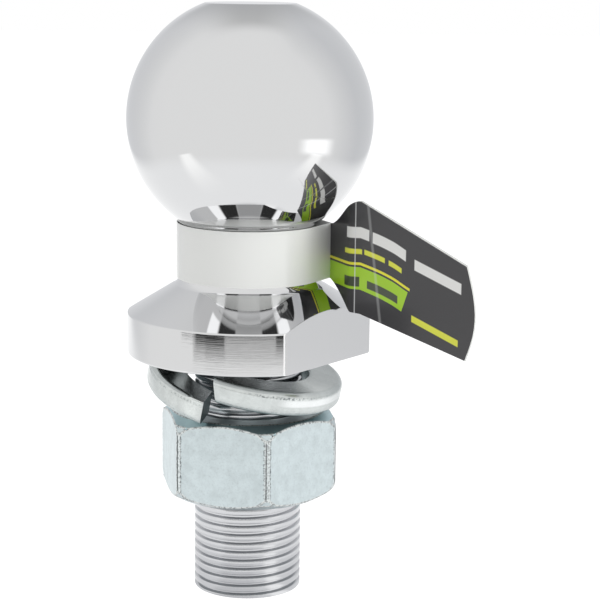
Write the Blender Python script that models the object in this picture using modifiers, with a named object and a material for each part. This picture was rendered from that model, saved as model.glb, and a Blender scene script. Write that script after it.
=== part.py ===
"""A threaded tow ball as it is sold: ball forging, spring washer, hexagon nut and neck label.

Metres and degrees, +Z up. The origin is the centre of the shank's end face, on which the part
stands, and -Y is the side from which the neck label's flag is read.
"""

import math

import bmesh
import bpy
from mathutils import Matrix, Vector

# Ball, neck and flange: one forging
BALL_DIAMETER = 0.050
BALL_TOP_FLAT = 0.0184
BALL_HEIGHT = 0.0478  # from the flange's underside to the ball's centre
NECK_DIAMETER = 0.029
BALL_FILLET = 0.0016
CONE_FILLET = 0.0020
CONE_ANGLE = 31.5
FLANGE_DIAMETER = 0.0499
FLANGE_WALL = 0.0084
FLANGE_EDGE = 0.0004
FLANGE_ACROSS_FLATS = 0.041
FLANGE_FLAT_TURN = 51.5

# Shank with its thread's outside diameter: the thread itself is too fine for these solids
SHANK_DIAMETER = 0.0222
SHANK_LENGTH = 0.050
SHANK_CHAMFER = 0.0009

# Split spring washer, made of coiled wire
WASHER_INNER_DIAMETER = 0.0257
WASHER_WIRE_WIDTH = 0.0072
WASHER_WIRE_THICKNESS = 0.0050
WASHER_OUTER_ROUND = 0.0014
WASHER_INNER_ROUND = 0.0005
WASHER_DROP = 0.0055  # from one end of the coil to the other
WASHER_TILT = 12.3
WASHER_HIGH_SIDE = -124.0  # seen from above, from the -Y side towards +X
WASHER_SHIFT_X = -0.0007
WASHER_SHIFT_Y = 0.0
SPLIT_WIDTH = 0.0025
SPLIT_PLACE = -20.0
SPLIT_SKEW = 7.5

# Nut
NUT_WALL = 0.00525  # from the bore to the middle of a flat
NUT_HEIGHT = 0.0177
NUT_CHAMFER_ANGLE = 30.0
NUT_CHAMFER_SHARE = 0.95  # the chamfer's circle on the end faces, of the size across flats
NUT_CORNER_ROUND = 0.0005
NUT_COUNTERSINK = 0.0009
NUT_TURN = 11.8
THREAD_CLEARANCE = 0.0003
NUT_BORE = SHANK_DIAMETER + 2 * THREAD_CLEARANCE
NUT_ACROSS_FLATS = NUT_BORE + 2 * NUT_WALL

# Neck label: a strip wrapped round the neck with its two ends stuck back to back as a flag
LABEL_THICKNESS = 0.0002
LABEL_OVERRUN = 0.0003  # how far the strap runs past the neck's straight wall, at each end
LABEL_LAYER_GAP = 0.00005
LABEL_NECK_GAP = 0.0002
LABEL_FORGING_GAP = 0.0002  # between the flag's edges and the cone under it or the ball over it
FLAG_FOLD_REACH = 0.00185  # how far the flag's fold stands off the strap's wrapped face
FLAG_FOLD_SIDE = -4.6
FLAG_LENGTH = 0.0387
FLAG_HEIGHT = 0.0226
FLAG_LOWER_SHARE = 0.49  # of the flag's height, below the strap's middle
FLAG_TAPER = 0.0044
FLAG_END_BULGE = 0.0022
FLAG_UPPER_FLARE = 0.0122
FLAG_LOWER_FLARE = 0.0094
FLAG_DROOP = 16.0
FLAG_FIRST_HEADING = 68.0
FLAG_HEADING = 44.0
FLAG_BEND_START = 0.0084
FLAG_BEND_LENGTH = 0.0020

# Gap between pieces that touch
SEAT_GAP = 0.0003

TURNED_STEPS = 84
ARC_STEP = 7.5


def remove_everything():
    for thing in list(bpy.data.objects):
        bpy.data.objects.remove(thing, do_unlink=True)


def new_collection(name):
    collection = bpy.data.collections.new(name)
    bpy.context.scene.collection.children.link(collection)
    return collection


def material(name, colour, roughness, metallic):
    made = bpy.data.materials.new(name)
    made.use_nodes = True
    shader = made.node_tree.nodes["Principled BSDF"]
    shader.inputs["Base Color"].default_value = (*colour, 1.0)
    shader.inputs["Roughness"].default_value = roughness
    shader.inputs["Metallic"].default_value = metallic
    return made


def new_object(name, mesh, collection, finish=None):
    made = bpy.data.objects.new(name, mesh)
    collection.objects.link(made)
    if finish:
        mesh.materials.append(finish)
    return made


def arc(centre, radius, start, end):
    """Points on a circle in the profile plane, from one angle to another, both ends included."""
    steps = max(2, math.ceil(abs(end - start) / ARC_STEP))
    angles = [math.radians(start + (end - start) * i / steps) for i in range(steps + 1)]
    return [(centre[0] + radius * math.cos(a), centre[1] + radius * math.sin(a)) for a in angles]


def rounded_corner(before, corner, after, radius):
    """The arc that rounds a corner between two straight stretches of a profile."""
    back = (Vector(before) - Vector(corner)).normalized()
    ahead = (Vector(after) - Vector(corner)).normalized()
    half = back.angle(ahead) / 2
    centre = Vector(corner) + (back + ahead).normalized() * radius / math.sin(half)
    first = Vector(corner) + back * radius / math.tan(half) - centre
    last = Vector(corner) + ahead * radius / math.tan(half) - centre
    start = math.degrees(math.atan2(first.y, first.x))
    end = math.degrees(math.atan2(last.y, last.x))
    turn = (end - start + 180) % 360 - 180
    return arc(centre, radius, start, start + turn)


def turned(name, profile, collection, finish=None):
    """A solid turned about its own Z axis from a profile that runs down its outer side."""
    mesh = bpy.data.meshes.new(name)
    points = [(radius, 0.0, height) for radius, height in profile]
    mesh.from_pydata(points, [(i, i + 1) for i in range(len(points) - 1)], [])
    made = new_object(name, mesh, collection, finish)
    screw = made.modifiers.new("Turn", "SCREW")
    screw.axis = "Z"
    screw.angle = math.tau
    screw.steps = TURNED_STEPS
    screw.render_steps = TURNED_STEPS
    screw.use_merge_vertices = True
    screw.merge_threshold = 0.00001
    screw.use_smooth_shade = True
    return made


def as_cutter(made):
    made.hide_render = True
    made.display_type = "WIRE"
    return made


def boolean(made, operation, other):
    cut = made.modifiers.new(other.name, "BOOLEAN")
    cut.operation = operation
    cut.object = other
    cut.solver = "EXACT"


def box_cutter(name, size, place, collection):
    """A box whose size and centre are given in the frame of its parent."""
    mesh = bpy.data.meshes.new(name)
    shape = bmesh.new()
    bmesh.ops.create_cube(shape, size=1.0, matrix=Matrix.Diagonal((*size, 1.0)))
    shape.to_mesh(mesh)
    shape.free()
    made = as_cutter(new_object(name, mesh, collection))
    made.location = place
    return made


def neck_span():
    """Heights of the neck's straight wall: its foot above the cone and its top below the ball."""
    neck = NECK_DIAMETER / 2
    rise = math.radians(CONE_ANGLE)
    foot = (
        SHANK_LENGTH
        + FLANGE_WALL
        + (FLANGE_DIAMETER / 2 - neck - CONE_FILLET) * math.tan(rise)
        + CONE_FILLET / math.cos(rise)
    )
    to_fillet = BALL_DIAMETER / 2 + BALL_FILLET
    top = SHANK_LENGTH + BALL_HEIGHT - math.sqrt(to_fillet**2 - (neck + BALL_FILLET) ** 2)
    return foot, top


def forging_profile():
    ball = BALL_DIAMETER / 2
    neck = NECK_DIAMETER / 2
    flange = FLANGE_DIAMETER / 2
    shank = SHANK_DIAMETER / 2
    centre = SHANK_LENGTH + BALL_HEIGHT
    flat_angle = math.degrees(math.acos(BALL_TOP_FLAT / BALL_DIAMETER))
    top = centre + ball * math.sin(math.radians(flat_angle))
    fillet_centre = (neck + BALL_FILLET, neck_span()[1])
    meeting = math.degrees(math.atan2(fillet_centre[1] - centre, fillet_centre[0]))

    profile = [(0.0, top)]
    profile += arc((0.0, centre), ball, flat_angle, meeting)
    profile += arc(fillet_centre, BALL_FILLET, 180 + meeting, 180)[1:]

    cone_foot = SHANK_LENGTH + FLANGE_WALL
    cone_top = cone_foot + (flange - neck) * math.tan(math.radians(CONE_ANGLE))
    profile += rounded_corner((neck, centre), (neck, cone_top), (flange, cone_foot), CONE_FILLET)
    profile += rounded_corner(
        (neck, cone_top), (flange, cone_foot), (flange, SHANK_LENGTH), FLANGE_EDGE
    )
    profile += rounded_corner(
        (flange, cone_foot), (flange, SHANK_LENGTH), (shank, SHANK_LENGTH), FLANGE_EDGE
    )
    profile += [
        (shank, SHANK_LENGTH),
        (shank, SHANK_CHAMFER),
        (shank - SHANK_CHAMFER, 0.0),
        (0.0, 0.0),
    ]
    return profile


def make_tow_ball(parts, cutters):
    chrome = material("polished chrome", (0.78, 0.79, 0.80), 0.06, 1.0)
    ball = turned("tow_ball", forging_profile(), parts, chrome)
    depth = FLANGE_DIAMETER
    height = 2 * (sum(neck_span()) / 2 - SHANK_LENGTH)
    for side, name in ((1, "flat_cutter_near"), (-1, "flat_cutter_far")):
        away = side * (FLANGE_ACROSS_FLATS + depth) / 2
        cutter = box_cutter(name, (2 * depth, depth, height), (0.0, 0.0, 0.0), cutters)
        turn = math.radians(FLANGE_FLAT_TURN)
        cutter.rotation_euler = (0.0, 0.0, turn)
        cutter.location = (away * math.sin(turn), -away * math.cos(turn), SHANK_LENGTH)
        boolean(ball, "DIFFERENCE", cutter)
    return ball


def wire_section():
    """Outline of the washer's wire, with its outer edges well rounded."""
    inner = WASHER_INNER_DIAMETER / 2
    outer = inner + WASHER_WIRE_WIDTH
    half = WASHER_WIRE_THICKNESS / 2
    corners = [
        (inner, -half, WASHER_INNER_ROUND, 180),
        (outer, -half, WASHER_OUTER_ROUND, 270),
        (outer, half, WASHER_OUTER_ROUND, 0),
        (inner, half, WASHER_INNER_ROUND, 90),
    ]
    outline = []
    for radius, height, round_, start in corners:
        inwards = math.copysign(round_, inner + outer - 2 * radius)
        centre = (radius + inwards, height - math.copysign(round_, height))
        steps = 4 if round_ == WASHER_OUTER_ROUND else 2
        for i in range(steps + 1):
            angle = math.radians(start + 90 * i / steps)
            outline.append(
                (centre[0] + round_ * math.cos(angle), centre[1] + round_ * math.sin(angle))
            )
    return outline


def make_spring_washer(parts, cutters):
    """The coil is spun about its own axis, sawn through, then tilted and hung under the flange."""
    zinc = material("bright zinc", (0.60, 0.64, 0.66), 0.32, 1.0)
    steps = 90
    sweep = math.radians(356)
    coil = bmesh.new()
    start = Matrix.Rotation(math.radians(SPLIT_PLACE - 90) + (math.tau - sweep) / 2, 4, "Z")
    ring = [
        coil.verts.new(start @ Vector((radius, 0.0, height + WASHER_DROP / 2)))
        for radius, height in wire_section()
    ]
    section = coil.faces.new(ring)
    bmesh.ops.spin(
        coil,
        geom=[*coil.verts, *coil.edges, section],
        axis=(0, 0, 1),
        dvec=(0, 0, -WASHER_DROP / steps),
        angle=sweep,
        steps=steps,
    )
    bmesh.ops.recalc_face_normals(coil, faces=coil.faces)

    high = math.radians(WASHER_HIGH_SIDE)
    tilt_axis = Vector((math.cos(high), math.sin(high), 0.0))
    tilt = Matrix.Rotation(-math.radians(WASHER_TILT), 4, tilt_axis)
    heights = [(tilt @ vert.co).z for vert in coil.verts]

    mesh = bpy.data.meshes.new("spring_washer")
    coil.to_mesh(mesh)
    coil.free()
    mesh.shade_smooth()
    mesh.set_sharp_from_angle(angle=math.radians(40))
    washer = new_object("spring_washer", mesh, parts, zinc)
    height = SHANK_LENGTH - SEAT_GAP - max(heights)
    washer.matrix_world = Matrix.Translation((WASHER_SHIFT_X, WASHER_SHIFT_Y, height)) @ tilt

    reach = WASHER_INNER_DIAMETER / 2 + WASHER_WIRE_WIDTH
    place = math.radians(SPLIT_PLACE)
    saw = box_cutter(
        "split_cutter",
        (SPLIT_WIDTH, 2 * WASHER_WIRE_WIDTH, 4 * (WASHER_DROP + WASHER_WIRE_THICKNESS)),
        (reach * math.sin(place), -reach * math.cos(place), 0.0),
        cutters,
    )
    saw.rotation_euler = (0.0, 0.0, place + math.radians(SPLIT_SKEW))
    saw.parent = washer
    boolean(washer, "DIFFERENCE", saw)
    lowest = height + min(heights)
    return washer, lowest


def nut_blank_profile(height):
    """Turned body whose chamfers take the corners off both faces of the hexagon."""
    corner = NUT_ACROSS_FLATS / math.sqrt(3)
    circle = NUT_CHAMFER_SHARE * NUT_ACROSS_FLATS / 2
    wide = 1.1 * corner
    drop = (wide - circle) * math.tan(math.radians(NUT_CHAMFER_ANGLE))
    return [
        (0.0, height / 2),
        (circle, height / 2),
        (wide, height / 2 - drop),
        (wide, drop - height / 2),
        (circle, -height / 2),
        (0.0, -height / 2),
    ]


def make_hex_nut(parts, cutters, top):
    zinc = material("blue zinc", (0.58, 0.64, 0.67), 0.38, 1.0)
    shape = bmesh.new()
    corner = NUT_ACROSS_FLATS / math.sqrt(3)
    bmesh.ops.create_cone(
        shape,
        cap_ends=True,
        segments=6,
        radius1=corner,
        radius2=corner,
        depth=NUT_HEIGHT,
        matrix=Matrix.Rotation(math.radians(NUT_TURN), 4, "Z"),
    )
    upright = [edge for edge in shape.edges if abs(edge.verts[0].co.z - edge.verts[1].co.z) > 0.001]
    bmesh.ops.bevel(
        shape, geom=upright, offset=NUT_CORNER_ROUND, segments=3, profile=0.5, affect="EDGES"
    )
    mesh = bpy.data.meshes.new("hex_nut")
    shape.to_mesh(mesh)
    shape.free()
    nut = new_object("hex_nut", mesh, parts, zinc)
    nut.location = (0.0, 0.0, top - NUT_HEIGHT / 2)

    blank = as_cutter(turned("nut_chamfer_cutter", nut_blank_profile(NUT_HEIGHT), cutters))
    bore = NUT_BORE / 2
    past = NUT_HEIGHT / 2 + 0.001
    mouth = bore + NUT_COUNTERSINK + 0.001
    bore_profile = [
        (0.0, past),
        (mouth, past),
        (bore, past - (mouth - bore)),
        (bore, (mouth - bore) - past),
        (mouth, -past),
        (0.0, -past),
    ]
    drill = as_cutter(turned("nut_bore_cutter", bore_profile, cutters))
    for cutter, operation in ((blank, "INTERSECT"), (drill, "DIFFERENCE")):
        cutter.parent = nut
        boolean(nut, operation, cutter)
    return nut


def flag_middle(along):
    """Place in plan and heading of the flag's middle, a distance past its fold.

    It runs straight, turns through a bend, and runs straight again.
    """
    reach = NECK_DIAMETER / 2 + LABEL_NECK_GAP + LABEL_THICKNESS + FLAG_FOLD_REACH
    side = math.radians(FLAG_FOLD_SIDE)
    first = -math.radians(FLAG_FIRST_HEADING)
    turn = math.radians(FLAG_FIRST_HEADING - FLAG_HEADING)
    curve = turn / FLAG_BEND_LENGTH
    before = min(along, FLAG_BEND_START)
    inside = min(max(along - FLAG_BEND_START, 0.0), FLAG_BEND_LENGTH)
    after = max(along - FLAG_BEND_START - FLAG_BEND_LENGTH, 0.0)
    heading = first + curve * inside
    place = reach * Vector((math.cos(side), math.sin(side)))
    place += before * Vector((math.cos(first), math.sin(first)))
    place += Vector((math.sin(heading) - math.sin(first), math.cos(first) - math.cos(heading))) / curve
    place += after * Vector((math.cos(heading), math.sin(heading)))
    return place, heading


def flag_layer(along, side):
    """Place in plan on the flag's back layer, side 1, or its front layer, side -1."""
    place, heading = flag_middle(along)
    offset = side * (LABEL_THICKNESS + LABEL_LAYER_GAP) / 2
    return place + offset * Vector((-math.sin(heading), math.cos(heading)))


def tangent_angle(wrap_radius, outside, side):
    """Where a straight run from a point outside the neck meets the wrapped circle."""
    return math.atan2(outside.y, outside.x) + side * math.acos(wrap_radius / outside.length)


def room_on_forging(radius):
    """Heights between which the label clears the cone below and the ball above."""
    rise = math.radians(CONE_ANGLE)
    edge = FLANGE_DIAMETER / 2 + LABEL_FORGING_GAP
    ball = BALL_DIAMETER / 2 + LABEL_FORGING_GAP
    lowest, highest = -math.inf, math.inf
    if radius < edge:
        foot = SHANK_LENGTH + FLANGE_WALL + LABEL_FORGING_GAP
        lowest = foot + (edge - radius) * math.tan(rise)
    if radius < ball:
        highest = SHANK_LENGTH + BALL_HEIGHT - math.sqrt(ball**2 - radius**2)
    return lowest, highest


def label_edges(along, radius):
    """Heights of the label's lower and upper edge, a distance along the flag from its fold."""
    foot, top = neck_span()
    middle = (foot + top) / 2
    half = (top - foot) / 2 + LABEL_OVERRUN
    below = FLAG_HEIGHT * FLAG_LOWER_SHARE
    above = FLAG_HEIGHT - below
    past = max(along - FLAG_UPPER_FLARE, 0.0)
    sag = math.tan(math.radians(FLAG_DROOP)) * past
    lost = FLAG_TAPER / 2 * past / (FLAG_LENGTH - FLAG_UPPER_FLARE)
    rise = min(along / FLAG_UPPER_FLARE, 1.0)
    fall = min(along / FLAG_LOWER_FLARE, 1.0)
    high = half + (above - half) * rise * rise * (3 - 2 * rise) - lost - sag
    low = -half - (below - half) * fall**1.4 + lost - sag
    if along == 0.0:
        return middle + low, middle + high
    lowest, highest = room_on_forging(radius)
    return max(middle + low, lowest), min(middle + high, highest)


def make_neck_label(parts):
    """A flat strip of film, bent round the neck, its ends laid together, and given its thickness."""
    film = material("printed film", (0.09, 0.085, 0.09), 0.35, 0.0)
    wrap = NECK_DIAMETER / 2 + LABEL_NECK_GAP + LABEL_THICKNESS / 2
    first = tangent_angle(wrap, flag_layer(0.0, 1), 1)
    last = tangent_angle(wrap, flag_layer(0.0, -1), -1) + math.tau
    flag_columns = 40
    wrap_columns = 72
    columns = 2 * flag_columns + wrap_columns + 2
    rows = 6

    strip = bmesh.new()
    bmesh.ops.create_grid(strip, x_segments=columns, y_segments=rows, size=0.5)
    for vert in strip.verts:
        column = round((vert.co.x + 0.5) * columns)
        across = vert.co.y + 0.5
        from_end = min(column, columns - column)
        if from_end <= flag_columns:
            bulge = FLAG_END_BULGE * math.sin(math.pi * across)
            along = (1 - from_end / flag_columns) * (FLAG_LENGTH + bulge)
            place = flag_layer(along, 1 if column <= flag_columns else -1)
        else:
            along = 0.0
            angle = first + (last - first) * (column - flag_columns - 1) / wrap_columns
            place = wrap * Vector((math.cos(angle), math.sin(angle)))
        low, high = label_edges(along, place.length)
        vert.co = (place.x, place.y, low + (high - low) * across)
    mesh = bpy.data.meshes.new("neck_label")
    strip.to_mesh(mesh)
    strip.free()
    label = new_object("neck_label", mesh, parts, film)
    thicken = label.modifiers.new("Film", "SOLIDIFY")
    thicken.thickness = LABEL_THICKNESS
    thicken.offset = 0.0
    thicken.use_even_offset = True
    return label


def main():
    remove_everything()
    parts = new_collection("threaded_tow_ball")
    cutters = new_collection("cutters")
    make_tow_ball(parts, cutters)
    washer_bottom = make_spring_washer(parts, cutters)[1]
    make_hex_nut(parts, cutters, washer_bottom - SEAT_GAP)
    make_neck_label(parts)


main()
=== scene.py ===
"""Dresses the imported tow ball: plated forging, cut threads, coiled washer, nut and printed label."""

import math
from functools import partialmethod

import bpy
from mathutils import Matrix, Vector

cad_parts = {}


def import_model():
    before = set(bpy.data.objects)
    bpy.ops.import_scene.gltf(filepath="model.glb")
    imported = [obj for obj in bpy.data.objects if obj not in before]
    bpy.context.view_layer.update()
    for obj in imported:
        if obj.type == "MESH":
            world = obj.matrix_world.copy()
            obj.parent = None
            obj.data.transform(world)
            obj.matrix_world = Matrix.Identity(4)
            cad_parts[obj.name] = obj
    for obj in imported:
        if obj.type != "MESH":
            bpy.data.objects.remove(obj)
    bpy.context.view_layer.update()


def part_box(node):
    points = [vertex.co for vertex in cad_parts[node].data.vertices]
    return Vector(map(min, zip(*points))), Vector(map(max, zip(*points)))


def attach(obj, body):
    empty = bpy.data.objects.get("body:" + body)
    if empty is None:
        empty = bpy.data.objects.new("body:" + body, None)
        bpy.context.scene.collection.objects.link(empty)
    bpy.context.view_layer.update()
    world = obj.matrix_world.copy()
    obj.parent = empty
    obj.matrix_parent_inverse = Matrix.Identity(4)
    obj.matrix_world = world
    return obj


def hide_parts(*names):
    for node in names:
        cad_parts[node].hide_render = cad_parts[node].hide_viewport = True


# Forging, in metres. The origin is the centre of the shank's end face
BALL_RADIUS = 0.025
BALL_CENTRE = 0.0978
TOP_FLAT_RADIUS = 0.0092
NECK_RADIUS = 0.0145
BALL_FILLET = 0.0016
CONE_FILLET = 0.0020
CONE_ANGLE = 31.5
FLANGE_RADIUS = 0.02495
FLANGE_WALL = 0.0084
FLANGE_EDGE = 0.0004
FLAT_DISTANCE = 0.0205
FLAT_TURN = 51.5
FLAT_EDGE = 0.0004
SHANK_LENGTH = 0.050
SHANK_RADIUS = 0.0111
SHANK_CHAMFER = 0.0009

# Thread: 14 turns to the inch, cut on the shank and in the nut
PITCH = 0.0254 / 14
THREAD_DEPTH = 0.00064
THREAD_START = -0.0021
THREAD_STEPS = 96
SHANK_THREAD_TURNS = 29
NUT_THREAD_TURNS = 26
NUT_THREAD_SLACK = 0.00008

# Washer, as it hangs: a coil of wire, sawn through with a skewed and leaning saw
WIRE_INNER = 0.01285
WIRE_WIDTH = 0.0072
WIRE_THICKNESS = 0.0050
WIRE_OUTER_ROUND = 0.0014
WIRE_INNER_ROUND = 0.0005
WIRE_STEPS = 181
WASHER_DROP = 0.0055
WASHER_SWEEP = 362.5
WASHER_TILT = 12.3
WASHER_HIGH_SIDE = -124.0
WASHER_SHIFT = -0.0007
SPLIT_WIDTH = 0.0025
SPLIT_PLACE = -20.0
SPLIT_SKEW = 7.5
SPLIT_LEAN = 0.30
SAWN_EDGE = 0.0001
SHEARED_FROM = 15.0
SHEARED_FADE = 2.5
SEAT_GAP = 0.0003

# Nut
NUT_ACROSS_FLATS = 0.0333
NUT_TURN = 11.8
NUT_CHAMFER_CIRCLE = 0.95 * NUT_ACROSS_FLATS / 2
NUT_CHAMFER_FALL = math.tan(math.radians(30))
NUT_SHOULDER = 0.0182
NUT_SHOULDER_FALL = math.tan(math.radians(60))
NUT_CORNER = 0.0008
NUT_CORNER_START = math.hypot(NUT_ACROSS_FLATS / 2, NUT_ACROSS_FLATS / math.sqrt(12) - NUT_CORNER)
NUT_EDGE = 0.00028
COUNTERSINK_WIDER = 0.0013
COUNTERSINK_NARROWER = 0.0008
COUNTERSINK_SUNK = 0.0006

# Bright chrome's own tone, a light grey where it mirrors the white studio
CHROME = (0.66, 0.663, 0.668)

# The paper lies just below the nut's lowest place, off the end of the shank
FLOOR_HEIGHT = -0.0186

# Label
LABEL_MIDDLE = 0.0712748
LABEL_THICKNESS = 0.0002
LABEL_LAYER_GAP = 0.00005
LABEL_NECK_GAP = 0.0002
STRAP_HALF = 0.00565
FLAG_LENGTH = 0.0387
FLAG_BELOW = 0.49 * 0.0226
FLAG_ABOVE = 0.51 * 0.0226
FOLD_REACH = 0.00185
FOLD_BEARING = -4.6
FLAG_HEADING = -68.0
FLAG_BEND = 24.0
FLAG_BEND_START = 0.0084
FLAG_BEND_LENGTH = 0.0020
FLAG_DROOP = 16.0
FLAG_DROOP_START = 0.0122
FLAG_WIDENING = 0.0094
FLAG_BULGE = 0.0022
FLAG_TAPER = 0.0022
PRINT_SCALE = 10.0

# Two places on a piece that are nearer than this are the same. Some cuts merge a few times this
SAME_PLACE = 0.00001

# The photograph's camera: its place, its yaw, pitch and roll in degrees, and its focal length and
# its frame's width in pixels
CAMERA_PLACE = (0, -0.3724, 0.13157)
CAMERA_TURN = (1.618, 10.781, 0.665)
FOCAL_LENGTH = 1839.5
FRAME_WIDTH = 600


def clear_selection():
    if bpy.context.object and bpy.context.object.mode != "OBJECT":
        leave()
    bpy.ops.object.select_all(action="DESELECT")


def take(piece):
    """Makes one piece the only selected and the active object."""
    clear_selection()
    piece.select_set(True)
    bpy.context.view_layer.objects.active = piece


def settle(name):
    """Names the piece just added and moves its place into its mesh."""
    piece = bpy.context.object
    piece.name = name
    piece.data.name = name
    take(piece)
    bpy.ops.object.transform_apply(location=True, rotation=True, scale=True)
    return piece


def enter():
    bpy.ops.object.mode_set(mode="EDIT")


def leave():
    bpy.ops.object.mode_set(mode="OBJECT")


def cylinder(name, sides, radius, low, high, turn=0):
    bpy.ops.mesh.primitive_cylinder_add(
        vertices=sides,
        radius=radius,
        depth=high - low,
        location=(0, 0, (low + high) / 2),
        rotation=(0, 0, turn),
    )
    return settle(name)


def edit(piece, kind="VERT", action="DESELECT"):
    take(piece)
    enter()
    bpy.ops.mesh.select_mode(type=kind)
    bpy.ops.mesh.select_all(action=action)


def pick(piece, test, kind="VERT"):
    """In edit mode, selects the vertices, edges or faces that pass a test."""
    bpy.ops.mesh.select_all(action="DESELECT")
    leave()
    mesh = piece.data
    for part in {"VERT": mesh.vertices, "EDGE": mesh.edges, "FACE": mesh.polygons}[kind]:
        part.select = test(part)
    enter()


def upright(piece, edge):
    first, last = (piece.data.vertices[i].co for i in edge.vertices)
    return abs(first.z - last.z) > 0.9 * (first - last).length


def extrude(across, up):
    bpy.ops.mesh.extrude_region_move(TRANSFORM_OT_translate={"value": (across, 0, up)})


def apply_all(piece):
    take(piece)
    for modifier in list(piece.modifiers):
        bpy.ops.object.modifier_apply(modifier=modifier.name)


def cut_with(piece, tool, operation):
    step = piece.modifiers.new("Cut", "BOOLEAN")
    step.operation = operation
    step.object = tool
    step.solver = "EXACT"
    if tool.data.materials:
        step.material_mode = "TRANSFER"
    apply_all(piece)
    bpy.data.objects.remove(tool)


def wind(piece, angle, rise, turns, steps):
    """Winds a profile round the upright axis."""
    step = piece.modifiers.new("Wind", "SCREW")
    step.angle = angle
    step.screw_offset = rise
    step.iterations = turns
    step.steps = steps
    step.render_steps = steps
    apply_all(piece)


def soften(piece, width, angle, segments=2):
    step = piece.modifiers.new("Edges", "BEVEL")
    step.width = width
    step.segments = segments
    step.limit_method = "ANGLE"
    step.angle_limit = math.radians(angle)
    apply_all(piece)


def close_small_gaps(piece, distance):
    edit(piece, action="SELECT")
    bpy.ops.mesh.remove_doubles(threshold=distance)
    leave()


def face_outwards(piece):
    edit(piece, action="SELECT")
    bpy.ops.mesh.normals_make_consistent(inside=False)
    leave()
    held = 0
    for face in piece.data.polygons:
        held += face.center.dot(face.normal) * face.area
    if held < 0:
        piece.data.flip_normals()


def hide(piece, *rays):
    for ray in rays:
        setattr(piece, "visible_" + ray, False)


def finish_piece(piece, node, body, angle=30.0, weight=100):
    take(piece)
    bpy.ops.object.shade_smooth_by_angle(angle=math.radians(angle))
    # broad faces keep their own normals, so only the rounded edges shade round
    broad = piece.modifiers.new("Broad faces", "WEIGHTED_NORMAL")
    broad.weight = weight
    broad.keep_sharp = True
    apply_all(piece)
    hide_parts(node)
    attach(piece, body)


# The forging


def round_between(first, corner, last, radius, steps):
    """Points that round a corner of a profile."""
    back = (Vector(first) - Vector(corner)).normalized()
    ahead = (Vector(last) - Vector(corner)).normalized()
    half = back.angle(ahead) / 2
    centre = Vector(corner) + (back + ahead).normalized() * radius / math.sin(half)
    start = Vector(corner) + back * radius / math.tan(half) - centre
    end = Vector(corner) + ahead * radius / math.tan(half) - centre
    from_angle = math.atan2(start.y, start.x)
    turn = (math.atan2(end.y, end.x) - from_angle + math.pi) % math.tau - math.pi
    angles = [from_angle + turn * i / steps for i in range(steps + 1)]
    return [(centre.x + radius * math.cos(a), centre.y + radius * math.sin(a)) for a in angles]


def draw_along(rings):
    """Extrudes the selected ring through a row of (radius, height) places."""
    radius, height = rings[0]
    for next_radius, next_height in rings[1:]:
        extrude(0, next_height - height)
        share = next_radius / radius
        bpy.ops.transform.resize(value=(share, share, 1), center_override=(0, 0, next_height))
        radius, height = next_radius, next_height


def make_forging():
    bpy.ops.mesh.primitive_uv_sphere_add(
        segments=256, ring_count=128, radius=BALL_RADIUS, location=(0, 0, BALL_CENTRE)
    )
    forging = settle("ball_forging")
    reach = math.sqrt((BALL_RADIUS + BALL_FILLET) ** 2 - (NECK_RADIUS + BALL_FILLET) ** 2)
    fillet_height = BALL_CENTRE - reach
    meeting = math.atan2(-reach, NECK_RADIUS + BALL_FILLET)
    neck_start = BALL_CENTRE + BALL_RADIUS * math.sin(meeting)
    top = BALL_CENTRE + math.sqrt(BALL_RADIUS**2 - TOP_FLAT_RADIUS**2)

    edit(forging, action="SELECT")
    bpy.ops.mesh.bisect(
        plane_co=(0, 0, top), plane_no=(0, 0, 1), clear_outer=True, use_fill=True, threshold=1e-6
    )
    bpy.ops.mesh.select_all(action="SELECT")
    bpy.ops.mesh.bisect(
        plane_co=(0, 0, neck_start), plane_no=(0, 0, 1), clear_inner=True, threshold=1e-6
    )
    pick(forging, lambda vert: vert.co.z < neck_start + 1e-6)

    rings = [(BALL_RADIUS * math.cos(meeting), neck_start)]
    steps = 6
    for i in range(1, steps + 1):
        angle = math.pi + meeting * (1 - i / steps)
        out, up = BALL_FILLET * (1 + math.cos(angle)), BALL_FILLET * math.sin(angle)
        rings.append((NECK_RADIUS + out, fillet_height + up))
    foot = SHANK_LENGTH + FLANGE_WALL
    cone_top = foot + (FLANGE_RADIUS - NECK_RADIUS) * math.tan(math.radians(CONE_ANGLE))
    neck = (NECK_RADIUS, fillet_height)
    rise = (NECK_RADIUS, cone_top)
    shoulder = (FLANGE_RADIUS, foot)
    heel = (FLANGE_RADIUS, SHANK_LENGTH)
    under = (SHANK_RADIUS * 0.8, SHANK_LENGTH)
    rings += round_between(neck, rise, shoulder, CONE_FILLET, 8)
    rings += round_between(rise, shoulder, heel, FLANGE_EDGE, 5)
    rings += round_between(shoulder, heel, under, FLANGE_EDGE, 6)
    rings.append(under)
    draw_along(rings)
    bpy.ops.mesh.edge_face_add()
    leave()
    face_outwards(forging)

    turn = math.radians(FLAT_TURN)
    cutter = 0.04
    out = FLAT_DISTANCE + cutter / 2
    for side in (1, -1):
        bpy.ops.mesh.primitive_cube_add(
            size=cutter,
            location=(side * out * math.sin(turn), -side * out * math.cos(turn), SHANK_LENGTH),
            rotation=(0, 0, turn),
        )
        cut_with(forging, settle("flat_cutter"), "DIFFERENCE")
    close_small_gaps(forging, 3 * SAME_PLACE)
    soften(forging, FLAT_EDGE, 24, 4)
    return forging


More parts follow.
